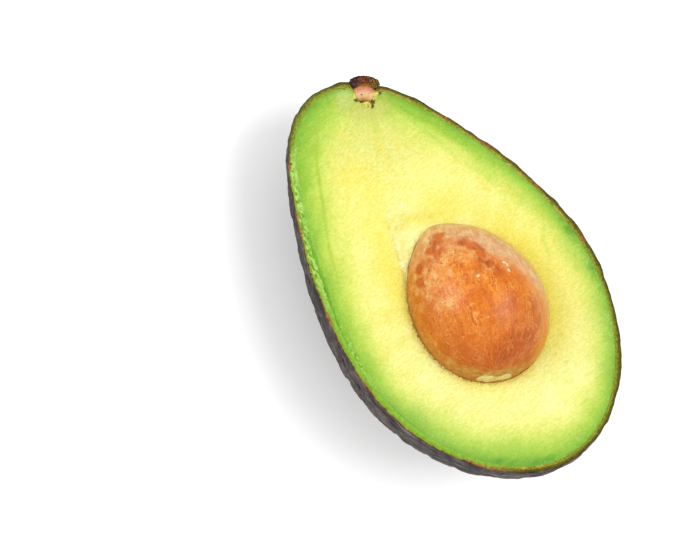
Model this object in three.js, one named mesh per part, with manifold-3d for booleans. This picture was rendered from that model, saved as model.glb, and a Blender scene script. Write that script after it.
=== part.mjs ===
// Half an avocado, cut lengthwise through the stem, with the whole seed left in it.
// It lies on its back on a small flat spot, with the cut face up and the stem end a little lower.
// Millimetres, +Z up. The origin is the middle of the flat spot, and +Y runs towards the stem.
import * as THREE from 'three';
import { mergeVertices } from 'three/addons/utils/BufferGeometryUtils.js';
import Module from 'manifold-3d';

const wasm = await Module();
wasm.setup();

// The whole fruit, over the skin
const FRUIT_LENGTH = 105;
const FRUIT_WIDTH = 66;
const FRUIT_THICKNESS = 64;
const GIRTH_TAPER = 0.24;
const GIRTH_SHOULDER = 0.085;
const GIRTH_TAPER_EASE = 0.153;
const END_BLUNTNESS = 0.114;
const WIDEST_GIRTH = 1.022;
const SKIN_THICKNESS = 1.4;
const GAP = 0.3;

// The knife's plane, against the fruit's own axis
const AXIS_BELOW_CUT = 2.5;
const AXIS_RISE_TO_STEM = THREE.MathUtils.degToRad(5.3);

// The pebbled relief of the skin
const PEBBLE_SPACING = 4.7;
const PEBBLE_TRIES = 9000;
const PEBBLE_SEED = 20;
const PEBBLE_RISE = [0.25, 0.7];
const CREASE_WIDTH = 3.4;

// The seed, and where its middle sits against the cut face
const SEED_LENGTH = 40.3;
const SEED_WIDTH = 32.2;
const SEED_TAPER = 0.123;
const SEED_SHOULDER = 0.054;
const SEED_POINT = 0.21;
const SEED_MIDDLE = new THREE.Vector3(1.1, -8.4, -1.7);
const SEED_LEAN = THREE.MathUtils.degToRad(4.9);

// The stem stub: a corky cap on a neck that tapers into the flesh
const STEM_CAP_RADIUS = 3.7;
const STEM_CAP_HEIGHT = 3;
const STEM_NECK_RADIUS = 2.6;
const STEM_TIP_RADIUS = 1.5;
const STEM_NECK_LENGTH = 3.2;
const STEM_BASE = new THREE.Vector3(10.1, 46.8, 0);
const STEM_LEAN = THREE.MathUtils.degToRad(38);
const STEM_PROUD = 0.8;
const DIMPLE_DEPTH = 1;
const DIMPLE_RADIUS = 3.6;

// How the half lies
const REST_TILT = THREE.MathUtils.degToRad(9.5);
const FLAT_SPOT_DEPTH = 0.7;

// Mesh fineness: splits of each side of the skin's first twenty facets, and facets round and along the rest
const SKIN_SPLITS = 24;
const LINING_FACETS = [50, 32];
const SEED_FACETS = [40, 24];
const STEM_FACETS = 24;

const UP = new THREE.Vector3(0, 1, 0);
const TOOL_SIZE = 3 * FRUIT_LENGTH;

const fruitInCut = new THREE.Matrix4()
  .makeTranslation(0, 0, -AXIS_BELOW_CUT)
  .multiply(new THREE.Matrix4().makeRotationX(AXIS_RISE_TO_STEM));
const stemInCut = new THREE.Matrix4()
  .makeTranslation(STEM_BASE.x, STEM_BASE.y, STEM_BASE.z)
  .multiply(new THREE.Matrix4().makeRotationZ(-STEM_LEAN));
const seedInCut = new THREE.Matrix4()
  .makeTranslation(SEED_MIDDLE.x, SEED_MIDDLE.y, SEED_MIDDLE.z)
  .multiply(new THREE.Matrix4().makeRotationZ(-SEED_LEAN));
const cutAtRest = restMatrix();

// A closed geometry, moved by a matrix, as a solid that can be joined and cut.
function solid(geometry, matrix = new THREE.Matrix4()) {
  const bare = geometry.clone().applyMatrix4(matrix);
  bare.deleteAttribute('normal');
  bare.deleteAttribute('uv');
  const merged = mergeVertices(bare);
  return new wasm.Manifold(
    new wasm.Mesh({
      numProp: 3,
      vertProperties: merged.attributes.position.array,
      triVerts: new Uint32Array(merged.index.array),
    }),
  );
}

// A named three.js mesh with the shape of a solid.
function meshOf(name, shape, material) {
  const { vertProperties, triVerts } = shape.getMesh();
  const geometry = new THREE.BufferGeometry();
  geometry.setAttribute('position', new THREE.BufferAttribute(vertProperties, 3));
  geometry.setIndex(new THREE.BufferAttribute(triVerts, 1));
  geometry.computeVertexNormals();
  const mesh = new THREE.Mesh(geometry, material);
  mesh.name = name;
  return mesh;
}

// Random numbers from 0 to 1, the same on every run.
function randomNumbers(seed) {
  let state = seed;
  return () => {
    state = (Math.imul(state, 1664525) + 1013904223) >>> 0;
    return state / 2 ** 32;
  };
}

// The fruit's girth against a ball's, from -1 at the blossom end to 1 at the stem end.
function girth(height) {
  const pear = 1 - GIRTH_TAPER * height - GIRTH_SHOULDER * height ** 2;
  const ends = GIRTH_TAPER_EASE * height ** 3 + END_BLUNTNESS * height ** 8;
  return (pear + ends) / WIDEST_GIRTH;
}

// Carries a point of the unit ball to the fruit's surface, or to a surface inset from it.
function fruitPoint(onBall, inset) {
  const swell = girth(onBall.y);
  const point = new THREE.Vector3(
    (FRUIT_WIDTH / 2 - inset) * onBall.x * swell,
    (FRUIT_LENGTH / 2 - inset) * onBall.y,
    (FRUIT_THICKNESS / 2 - inset) * onBall.z * swell,
  ).applyMatrix4(fruitInCut);
  const fromStem = point.distanceTo(STEM_BASE) / DIMPLE_RADIUS;
  const sink = DIMPLE_DEPTH * Math.exp(-(fromStem ** 2));
  return point.addScaledVector(UP.clone().transformDirection(stemInCut), -sink);
}

// The whole fruit as a smooth closed geometry, shaped from a ball and inset from its surface.
function fruitGeometry(ball, inset) {
  ball.deleteAttribute('normal');
  ball.deleteAttribute('uv');
  const geometry = mergeVertices(ball);
  const position = geometry.attributes.position;
  const vertex = new THREE.Vector3();
  for (let i = 0; i < position.count; i++) {
    vertex.fromBufferAttribute(position, i);
    position.setXYZ(i, ...fruitPoint(vertex, inset));
  }
  return geometry;
}

// The middles of the pebbles, strewn at random over the fruit with no two closer than their spacing.
function pebbles() {
  const random = randomNumbers(PEBBLE_SEED);
  const field = [];
  for (let tries = 0; tries < PEBBLE_TRIES; tries++) {
    const height = 2 * random() - 1;
    const turn = 2 * Math.PI * random();
    const rise = THREE.MathUtils.lerp(...PEBBLE_RISE, random());
    const onBall = new THREE.Vector3().setFromCylindricalCoords(Math.sqrt(1 - height ** 2), turn, height);
    const centre = fruitPoint(onBall, 0);
    const free = field.every((pebble) => pebble.centre.distanceTo(centre) > PEBBLE_SPACING);
    if (free) field.push({ centre, rise });
  }
  return field;
}

// The height of the relief at a point: full on each pebble, and falling to 0 at the creases between.
function reliefAt(point, field) {
  let nearest = Infinity;
  let second = Infinity;
  let rise = 0;
  for (const pebble of field) {
    const distance = point.distanceTo(pebble.centre);
    if (distance < nearest) {
      second = nearest;
      nearest = distance;
      rise = pebble.rise;
    } else if (distance < second) {
      second = distance;
    }
  }
  return rise * THREE.MathUtils.smoothstep(second - nearest, 0, CREASE_WIDTH);
}

// The whole fruit with its pebbled skin, raised and sunk by half the relief each way.
function pebbledFruit() {
  const geometry = fruitGeometry(new THREE.IcosahedronGeometry(1, SKIN_SPLITS), 0);
  geometry.computeVertexNormals();
  const field = pebbles();
  const middle = (PEBBLE_RISE[0] + PEBBLE_RISE[1]) / 4;
  const { position, normal } = geometry.attributes;
  const vertex = new THREE.Vector3();
  const outward = new THREE.Vector3();
  for (let i = 0; i < position.count; i++) {
    vertex.fromBufferAttribute(position, i);
    outward.fromBufferAttribute(normal, i);
    const relief = reliefAt(vertex, field) - middle;
    position.setXYZ(i, ...vertex.addScaledVector(outward, relief));
  }
  return solid(geometry);
}

// The seed's girth against a ball's, from -1 at its broad base to 1 at its blunt point.
function seedGirth(height) {
  const egg = 1 - SEED_TAPER * height - SEED_SHOULDER * height ** 2;
  return egg - SEED_POINT * Math.max(height, 0) ** 8;
}

// The seed's shape about its own long axis, grown on all sides by a clearance.
function seedGeometry(clearance) {
  const [around, along] = SEED_FACETS;
  const profile = Array.from({ length: along + 1 }, (_, i) => {
    const angle = Math.PI * (1 - i / along);
    const height = Math.cos(angle);
    const ring = i % along === 0 ? 0 : Math.sin(angle);
    const radius = (SEED_WIDTH / 2 + clearance) * ring * seedGirth(height);
    return new THREE.Vector2(radius, (SEED_LENGTH / 2 + clearance) * height);
  });
  return new THREE.LatheGeometry(profile, around);
}

// The stem stub's shape about its own axis, from its tip in the flesh to the top of its cap.
function stemGeometry(clearance) {
  const profile = new THREE.Path();
  const neck = STEM_NECK_RADIUS + clearance;
  const cap = STEM_CAP_RADIUS + clearance;
  const top = STEM_CAP_HEIGHT + clearance;
  profile.moveTo(0, -STEM_NECK_LENGTH - clearance);
  profile.lineTo(STEM_TIP_RADIUS + clearance, -STEM_NECK_LENGTH - clearance);
  profile.bezierCurveTo(neck - 0.6, -STEM_NECK_LENGTH / 2, neck, -1, neck, -clearance);
  profile.lineTo(cap - 0.6, -clearance);
  profile.bezierCurveTo(cap + 0.4, 1, cap, top * 0.7, cap * 0.6, top * 0.93);
  profile.quadraticCurveTo(cap * 0.3, top, 0, top);
  const points = profile.getPoints(5);
  points[points.length - 1].x = 0;
  return new THREE.LatheGeometry(points, STEM_FACETS);
}

// The matrix that lays the half down: tilted stem end low, with the flat spot's middle at the origin.
function restMatrix() {
  const tilt = new THREE.Matrix4().makeRotationX(-REST_TILT);
  const lowest = new THREE.Vector3(0, 0, Infinity);
  for (let angle = 0; angle < Math.PI; angle += 0.001) {
    const underside = new THREE.Vector3(0, Math.cos(angle), -Math.sin(angle));
    const point = fruitPoint(underside, 0).applyMatrix4(tilt);
    if (point.z < lowest.z) lowest.copy(point);
  }
  const drop = new THREE.Matrix4().makeTranslation(-lowest.x, -lowest.y, -lowest.z - FLAT_SPOT_DEPTH);
  return drop.multiply(tilt);
}

// A block that fills all the space above a height over the cut face.
function spaceAbove(height) {
  const block = new THREE.BoxGeometry(TOOL_SIZE, TOOL_SIZE, TOOL_SIZE);
  return solid(block, new THREE.Matrix4().makeTranslation(0, 0, height + TOOL_SIZE / 2));
}

// A block that fills all the space under the surface that the half lies on, seen from the cut face.
function ground() {
  const block = new THREE.BoxGeometry(TOOL_SIZE, TOOL_SIZE, TOOL_SIZE);
  const below = new THREE.Matrix4().makeTranslation(0, 0, -TOOL_SIZE / 2);
  return solid(block, below.premultiply(cutAtRest.clone().invert()));
}

// The smooth surface between the skin and the flesh, as a solid, inset from the skin's own surface.
function lining(inset) {
  return solid(fruitGeometry(new THREE.SphereGeometry(1, ...LINING_FACETS), inset));
}

// The skin: a pebbled shell round the back, cut off at the knife's plane and flat where it rests.
function skin() {
  return pebbledFruit()
    .subtract(lining(SKIN_THICKNESS))
    .subtract(spaceAbove(0))
    .subtract(solid(stemGeometry(GAP), stemInCut))
    .subtract(ground());
}

// The flesh: one solid that fills the skin, with the hollow that the seed left and the stem's socket.
function flesh() {
  return lining(SKIN_THICKNESS + GAP)
    .subtract(spaceAbove(0))
    .subtract(solid(seedGeometry(GAP), seedInCut))
    .subtract(solid(stemGeometry(GAP), stemInCut));
}

// The seed, whole.
function seed() {
  return solid(seedGeometry(0), seedInCut);
}

// The stem stub, which the knife cut a little above the flesh.
function stem() {
  return solid(stemGeometry(0), stemInCut).subtract(spaceAbove(STEM_PROUD));
}

const skinMaterial = new THREE.MeshStandardMaterial({ color: 0x241c20, roughness: 0.5, metalness: 0 });
const fleshMaterial = new THREE.MeshStandardMaterial({ color: 0xe3e27a, roughness: 0.45, metalness: 0 });
const seedMaterial = new THREE.MeshStandardMaterial({ color: 0xb5622a, roughness: 0.5, metalness: 0 });
const stemMaterial = new THREE.MeshStandardMaterial({ color: 0x6b4024, roughness: 0.9, metalness: 0 });

const avocadoHalf = new THREE.Group();
avocadoHalf.add(meshOf('skin', skin(), skinMaterial));
avocadoHalf.add(meshOf('flesh', flesh(), fleshMaterial));
avocadoHalf.add(meshOf('seed', seed(), seedMaterial));
avocadoHalf.add(meshOf('stem', stem(), stemMaterial));
avocadoHalf.applyMatrix4(cutAtRest);

export default avocadoHalf;
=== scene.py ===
"""Half an avocado with its seed, lying on its back with the cut face up.

Shapes are worked out in millimetres against the cut face: X across it, Y towards the stem, Z out of it.
placed() takes them to the part's own frame, in metres.
"""

import math

import bpy
import numpy as np
from mathutils import Matrix, Vector, kdtree, noise


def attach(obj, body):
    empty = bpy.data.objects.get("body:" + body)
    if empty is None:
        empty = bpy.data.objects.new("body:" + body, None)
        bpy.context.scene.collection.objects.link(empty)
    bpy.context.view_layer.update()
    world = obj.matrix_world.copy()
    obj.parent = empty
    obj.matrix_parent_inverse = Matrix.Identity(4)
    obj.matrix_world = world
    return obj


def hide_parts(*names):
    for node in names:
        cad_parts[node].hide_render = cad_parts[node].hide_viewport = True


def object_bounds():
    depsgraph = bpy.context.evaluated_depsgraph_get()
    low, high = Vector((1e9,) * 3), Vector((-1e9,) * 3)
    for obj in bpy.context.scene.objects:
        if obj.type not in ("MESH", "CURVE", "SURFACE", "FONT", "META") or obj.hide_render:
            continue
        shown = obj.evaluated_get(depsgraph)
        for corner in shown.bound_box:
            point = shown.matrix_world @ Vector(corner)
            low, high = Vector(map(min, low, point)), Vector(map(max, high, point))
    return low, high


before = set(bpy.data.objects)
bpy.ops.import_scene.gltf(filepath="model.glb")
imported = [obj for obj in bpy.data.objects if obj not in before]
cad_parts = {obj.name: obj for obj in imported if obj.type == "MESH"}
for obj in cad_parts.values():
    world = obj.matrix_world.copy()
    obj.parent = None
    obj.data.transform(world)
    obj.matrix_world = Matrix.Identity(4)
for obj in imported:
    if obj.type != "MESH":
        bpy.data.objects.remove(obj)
CAD_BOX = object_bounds()
MM = 0.001

# The fruit's smooth shape, over the skin
FRUIT_LENGTH = 105
FRUIT_WIDTH = 66
FRUIT_THICKNESS = 64
GIRTH_TAPER = 0.24
GIRTH_SHOULDER = 0.085
GIRTH_TAPER_EASE = 0.153
END_BLUNTNESS = 0.114
WIDEST_GIRTH = 1.022
SKIN_THICKNESS = 1.4

# The knife's plane against the fruit's own axis, and how the half lies
AXIS_BELOW_CUT = 2.5
AXIS_RISE_TO_STEM = math.radians(5.3)
REST_TILT = math.radians(9.5)
FLAT_SPOT_DEPTH = 0.7

# The pebbled relief of the skin
PEBBLE_SPACING = 4.7
PEBBLE_TRIES = 9000
PEBBLE_SEED = 20
PEBBLE_RISE = (0.25, 0.7)
PEBBLE_WARP = 1.1
PEBBLE_WARP_SIZE = 3.1
CREASE_WIDTH = 3.0

# The seed, and where its middle sits against the cut face
SEED_LENGTH = 40.3
SEED_WIDTH = 32.2
SEED_TAPER = 0.123
SEED_SHOULDER = 0.054
SEED_POINT = 0.21
SEED_MIDDLE = np.array((1.1, -8.4, -1.7))
SEED_LEAN = math.radians(4.9)
SEED_GAP = 0.12

# The stem stub
STEM_CAP_RADIUS = 3.7
STEM_CAP_HEIGHT = 3.0
STEM_NECK_RADIUS = 2.6
STEM_TIP_RADIUS = 1.5
STEM_NECK_LENGTH = 3.2
STEM_BASE = np.array((10.1, 46.8, 0.0))
STEM_LEAN = math.radians(38)
STEM_PROUD = 0.8
DIMPLE_DEPTH = 1.0
DIMPLE_RADIUS = 3.6
STEM_AXIS = np.array((math.sin(STEM_LEAN), math.cos(STEM_LEAN), 0.0))

# Mesh fineness: columns of vertices round each piece, and rows on each of its faces
COLUMNS = 640
SKIN_ROWS = 128
RIM_ROWS = 10
HIDDEN_ROWS = 7
FACE_ROWS = 130
SEED_COLUMNS = 260
SEED_ROWS = 190
STEM_COLUMNS = 120
STEM_ROWS = 96
SHARP_EDGE = math.radians(55)

# The camera, against the cut face: the photograph's angles, its distance and the point in its middle
CAMERA_LENS = 135
CAMERA_SENSOR = 36
CAMERA_TILT = math.radians(18.66)
CAMERA_SIDE = math.radians(2.11)
CAMERA_ROLL = math.radians(36.29)
CAMERA_DISTANCE = 605.4
CAMERA_AIM = np.array((-19.2, 14.5, 0.0))

# The studio, in metres and watts: each light's direction is the photograph's right, up and nearer
FLOOR_SIZE = 6
SURROUNDINGS = 0.86
SOFTBOX_SIZE = 0.9
SOFTBOX_DISTANCE = 1.6
SOFTBOXES = ("left_softbox", (-0.65, 0.2, 0.75), 11.9), ("right_softbox", (0.64, 0.12, 0.75), 11.0)


def turned(axis, angle):
    """A 3 by 3 rotation about a main axis."""
    return np.array(Matrix.Rotation(angle, 3, axis))


FRUIT_IN_CUT = turned("X", AXIS_RISE_TO_STEM)
CUT_AT_REST = turned("X", -REST_TILT)
SEED_IN_CUT = turned("Z", -SEED_LEAN)
STEM_IN_CUT = turned("Z", -STEM_LEAN)
FRUIT_MIDDLE = np.array((0, 0, -AXIS_BELOW_CUT))


def smoothstep(value, low, high):
    """0 below low, 1 above high, and smooth between."""
    t = np.clip((value - low) / (high - low), 0, 1)
    return t * t * (3 - 2 * t)


def fade(value, low, high):
    """1 below low, 0 above high, and smooth between."""
    return 1 - smoothstep(value, low, high)


def falloff(distance, reach):
    """1 at no distance, falling to 0 past the reach."""
    return np.exp(-((distance / reach) ** 2))


def mix(low, high, share):
    return low + (high - low) * share


def lumps(points, size, seed=0):
    """Smooth random numbers from about -1 to 1 at the points, with features of that size."""
    shift = Vector((17.3 * seed, -9.1 * seed, 5.7 * seed))
    flat = np.asarray(points, float).reshape(-1, 3) / size
    values = [noise.noise(Vector(p) + shift) for p in flat.tolist()]
    return np.array(values).reshape(np.shape(points)[:-1])


def girth(height):
    """The fruit's girth against a ball's, from -1 at the blossom end to 1 at the stem end."""
    pear = 1 - GIRTH_TAPER * height - GIRTH_SHOULDER * height**2
    ends = GIRTH_TAPER_EASE * height**3 + END_BLUNTNESS * height**8
    return (pear + ends) / WIDEST_GIRTH


def sunk(points):
    """The points, sunk along the stem where they lie in the dimple round it."""
    away = np.linalg.norm(points - STEM_BASE, axis=-1) / DIMPLE_RADIUS
    return points - DIMPLE_DEPTH * np.exp(-(away**2))[..., None] * STEM_AXIS


def fruit_points(on_ball):
    """Points of the unit ball carried to the fruit's smooth surface."""
    swell = girth(on_ball[..., 1])
    scaled = np.stack((
        FRUIT_WIDTH / 2 * on_ball[..., 0] * swell,
        FRUIT_LENGTH / 2 * on_ball[..., 1],
        FRUIT_THICKNESS / 2 * on_ball[..., 2] * swell,
    ), -1)
    return sunk(scaled @ FRUIT_IN_CUT.T + FRUIT_MIDDLE)


def outside_fruit(points, inset):
    """Above 0 outside the fruit's surface inset by that much, and below 0 inside it."""
    own = (points - FRUIT_MIDDLE) @ FRUIT_IN_CUT
    height = own[..., 1] / (FRUIT_LENGTH / 2 - inset)
    swell = girth(height)
    across = own[..., 0] / ((FRUIT_WIDTH / 2 - inset) * swell)
    deep = own[..., 2] / ((FRUIT_THICKNESS / 2 - inset) * swell)
    return across**2 + height**2 + deep**2 - 1


def seed_girth(height):
    """The seed's girth against a ball's, from -1 at its broad base to 1 at its blunt point."""
    return 1 - SEED_TAPER * height - SEED_SHOULDER * height**2 - SEED_POINT * np.clip(height, 0, 1) ** 8


def outside_seed(points, clearance):
    """Above 0 outside the seed's surface grown by that clearance, and below 0 inside it."""
    own = (points - SEED_MIDDLE) @ SEED_IN_CUT
    height = own[..., 1] / (SEED_LENGTH / 2 + clearance)
    radius = np.hypot(own[..., 0], own[..., 2]) / ((SEED_WIDTH / 2 + clearance) * seed_girth(height))
    return radius**2 + height**2 - 1


# Rays from a hub in the cut face find the surfaces
HUB = np.array((SEED_MIDDLE[0], SEED_MIDDLE[1], 0.0))
REACH = 90.0
HALVINGS = 36
FINE_COLUMNS = 8 * COLUMNS
STEM_CROWDING = 1.5
STEM_CROWDING_REACH = 6


def cast(directions, outside, amount):
    """Where rays from the hub leave a closed surface."""
    near = np.zeros(directions.shape[:-1])
    far = np.full(directions.shape[:-1], REACH)
    for _ in range(HALVINGS):
        middle = (near + far) / 2
        out = outside(HUB + directions * middle[..., None], amount) > 0
        far = np.where(out, middle, far)
        near = np.where(out, near, middle)
    return HUB + directions * near[..., None]


def column_azimuths():
    """Directions from the hub, in the cut face, that cut the rim into equal lengths, shorter by the stem."""
    fine = np.linspace(0, 2 * math.pi, FINE_COLUMNS + 1)
    rim = cast(np.stack((np.cos(fine), np.sin(fine), 0 * fine), -1), outside_fruit, 0)
    steps = np.linalg.norm(np.diff(rim, axis=0), axis=1)
    steps *= 1 + STEM_CROWDING * falloff(np.linalg.norm(rim[1:] - STEM_BASE, axis=1), STEM_CROWDING_REACH)
    along = np.concatenate(((0,), np.cumsum(steps)))
    return np.interp(np.arange(COLUMNS) / COLUMNS * along[-1], along, fine)


AZIMUTHS = column_azimuths()


def rays(depth_angles):
    """Rows of directions at those angles below the cut face, with a column for each azimuth."""
    down = np.asarray(depth_angles)[:, None]
    flat = np.cos(down)
    return np.stack((
        flat * np.cos(AZIMUTHS), flat * np.sin(AZIMUTHS), -np.sin(down) + 0 * AZIMUTHS,
    ), -1)


def rest_drop():
    """The move, after the tilt, that brings the flat spot's middle to the origin."""
    angles = np.arange(0, math.pi, 0.001)
    underside = np.stack((0 * angles, np.cos(angles), -np.sin(angles)), -1)
    tilted = fruit_points(underside) @ CUT_AT_REST.T
    lowest = tilted[np.argmin(tilted[:, 2])]
    return -lowest - np.array((0, 0, FLAT_SPOT_DEPTH))


REST_DROP = rest_drop()


def placed(points):
    """From millimetres against the cut face to the part's frame, in metres."""
    return (np.asarray(points) @ CUT_AT_REST.T + REST_DROP) * MM


def random_numbers(seed):
    """Random numbers from 0 to 1, the same on every run."""
    state = seed
    while True:
        state = (state * 1664525 + 1013904223) % 2**32
        yield state / 2**32


def tree_of(points):
    """The points, ready to be searched for the nearest ones."""
    tree = kdtree.KDTree(len(points))
    for index, point in enumerate(points):
        tree.insert(point, index)
    tree.balance()
    return tree


def pebbles():
    """The middles of the skin's pebbles, strewn with no two closer than their spacing, and their heights."""
    draw = random_numbers(PEBBLE_SEED)
    middles = np.empty((0, 3))
    rises = []
    for _ in range(PEBBLE_TRIES):
        height = 2 * next(draw) - 1
        turn = 2 * math.pi * next(draw)
        rise = mix(*PEBBLE_RISE, next(draw))
        ring = math.sqrt(1 - height**2)
        on_ball = np.array((ring * math.sin(turn), height, ring * math.cos(turn)))
        middle = fruit_points(on_ball)
        if not len(middles) or np.linalg.norm(middles - middle, axis=1).min() > PEBBLE_SPACING:
            middles = np.vstack((middles, middle))
            rises.append(rise)
    return middles, rises


def pebble_relief(points):
    """The relief at points of the smooth skin, in millimetres, and how far into a crease each is, from 0 to 1."""
    middles, rises = pebbles()
    tree = tree_of(middles)
    flat = points.reshape(-1, 3)
    warp = np.stack([lumps(flat, PEBBLE_WARP_SIZE, seed) for seed in (1, 2, 3)], -1) * PEBBLE_WARP
    relief = np.empty(len(flat))
    crease = np.empty(len(flat))
    for i, point in enumerate((flat + warp).tolist()):
        (_, first, near), (_, _, far) = tree.find_n(point, 2)
        inside = min(1.0, (far - near) / CREASE_WIDTH)
        plateau = inside * inside * (3 - 2 * inside)
        relief[i] = rises[first] * plateau
        crease[i] = 1 - inside
    relief -= sum(PEBBLE_RISE) / 4
    return relief.reshape(points.shape[:-1]), crease.reshape(points.shape[:-1])


def outward(points, inset):
    """The fruit's outward normals at points of its surface."""
    step = 0.01
    slopes = []
    for axis in np.eye(3):
        ahead = outside_fruit(points + step * axis, inset)
        behind = outside_fruit(points - step * axis, inset)
        slopes.append(ahead - behind)
    normal = np.stack(slopes, -1)
    return normal / np.linalg.norm(normal, axis=-1, keepdims=True)


def closed_grid(rows):
    """Vertices and faces of a grid that closes round on itself, with its first and last rows drawn to a point."""
    count, columns = rows.shape[:2]
    body = rows[1:-1].reshape(-1, 3)
    vertices = np.vstack((body, rows[0].mean(0), rows[-1].mean(0)))
    first, last = len(body), len(body) + 1
    across = np.arange(columns)
    beside = (across + 1) % columns
    faces = [(first, int(b), int(a)) for a, b in zip(beside, across)]
    for row in range(count - 3):
        here, below = row * columns, (row + 1) * columns
        faces += np.stack((here + across, below + across, below + beside, here + beside), -1).tolist()
    end = (count - 3) * columns
    faces += [(last, end + int(b), end + int(a)) for a, b in zip(across, beside)]
    return vertices, faces


def on_grid(values):
    """Values given on a grid's rows, in the order of closed_grid's vertices."""
    return np.concatenate((values[1:-1].ravel(), (values[0].mean(), values[-1].mean())))


def add_piece(name, rows, attributes, material, node, slot):
    """A smooth mesh of those rows that stands for a CAD node and rides on the part's one body."""
    vertices, faces = closed_grid(rows)
    mesh = bpy.data.meshes.new(name)
    mesh.from_pydata(np.clip(placed(vertices), *np.array(CAD_BOX)).tolist(), [], faces)
    mesh.polygons.foreach_set("use_smooth", np.ones(len(mesh.polygons), bool))
    mesh.set_sharp_from_angle(angle=SHARP_EDGE)
    for key, values in attributes.items():
        layer = mesh.attributes.new(key, "FLOAT", "POINT")
        layer.data.foreach_set("value", np.asarray(on_grid(values), np.float32))
    mesh.materials.append(material)
    mesh.update()
    piece = bpy.data.objects.new(name, mesh)
    bpy.context.scene.collection.objects.link(piece)
    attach(piece, "root")
    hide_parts(node)


# Relief that is made of lumps: the height and size of each layer in millimetres, and the seed of its random numbers

SKIN_SWELL = (0.3, 9, 8)
SKIN_FINE = (0.08, 1.3, 4), (0.05, 0.6, 5)
SKIN_WRINKLES = (0.3, 1, 10)
SKIN_WRINKLE_SIZE = np.array((5.5, 5.5, 0.75))
SKIN_WRINKLE_SWAY = (0.4, 4, 9)
RIM_RAGGED = (0.1, 0.9, 6), (0.07, 0.4, 7)
FACE_SWELL = (0.3, 19, 15)
FACE_WAVES = (0.05, 4, 16)
FACE_FINE = (0.02, 1.2, 17)
TORN_ROUGH = (0.36, 2.4, 11), (0.2, 1.1, 12), (0.07, 0.5, 19)
FRINGE_EDGE = (0.6, 1.5, 35)
FRINGE_HEIGHT = 0.12
FRINGE_FRAYED = (0.16, 1.1, 13), (0.08, 0.55, 14)
FLAKE_HEIGHT = 0.45
FLAKE_ROUGH = (0.3, 0.9, 40)
CRUMB_DEPTH = 0.5
TORN_DEPTH = 0.35
FOLD_DEPTH = 0.35
RIM_FOLD_DEPTH = 0.3
RIM_FOLD_LIP = 0.12
RIM_FOLD_SWAY = (0.3, 2, 43)
STEM_FOLD_DEPTH = 0.3
COAT_TEARS = (9, 7, 23), (5, 2.2, 24), (3, 0.9, 25)
CORK_GRAINS = (0.2, 1.0, 31), (0.16, 0.45, 32)
CORK_PROUD = (0.3, 0.6, 33)
WOOD_PROUD = (0.12, 0.7, 34)

# The same as shares of the seed's size, and the groove along the edge of its lobe
SEED_UNEVEN = (0.006, 8, 21), (0.0012, 1.5, 22)
LOBE_DEPTH = 0.018


def layers(points, *parts):
    """The sum of some layers of lumps at the points."""
    return sum(height * lumps(points, size, seed) for height, size, seed in parts)


def near_places(points, places, reach):
    """1 at any of some places, given with two coordinates or three, falling to 0 with distance from them."""
    gaps = [np.linalg.norm(points[..., : len(place)] - place, axis=-1) for place in places]
    return falloff(np.min(gaps, axis=0), reach)


def near_line(points, line):
    """The distance of each point to a line through some places, given with two coordinates or three."""
    flat = points[..., : len(line[0])]
    gaps = []
    for start, end in zip(line, line[1:]):
        start, along = np.array(start), np.subtract(end, start)
        share = np.clip((flat - start) @ along / (along @ along), 0, 1)
        gaps.append(np.linalg.norm(flat - start - share[..., None] * along, axis=-1))
    return np.min(gaps, axis=0)


def near_lines(points, lines):
    return np.min([near_line(points, line) for line in lines], axis=0)


# Skin, with places on its rim

RUSTY_PLACES = (
    (-18.0, -43.0), (-20.1, -41.1), (-21.6, -39.4), (-23.1, -37.2), (26.3, 19.5), (22.0, 29.5), (29.9, 5.3),
    (31.5, -12.0), (-15.6, 42.5), (-21.6, 31.3), (-23.2, 27.9), (-30.6, 8.5), (-33.4, -9.6),
)
TAN_PLACES = ((-13.0, -46.6), (-9.5, -48.6))

# How deep below the rim the relief only moves the skin sideways, grows to its full height, and wrinkles along the rim
LEVEL_DEPTH = 1.5
RELIEF_AT_RIM = 0.3
RELIEF_DEPTHS = (3, 22)
WRINKLE_DEPTHS = (9, 18)


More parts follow.
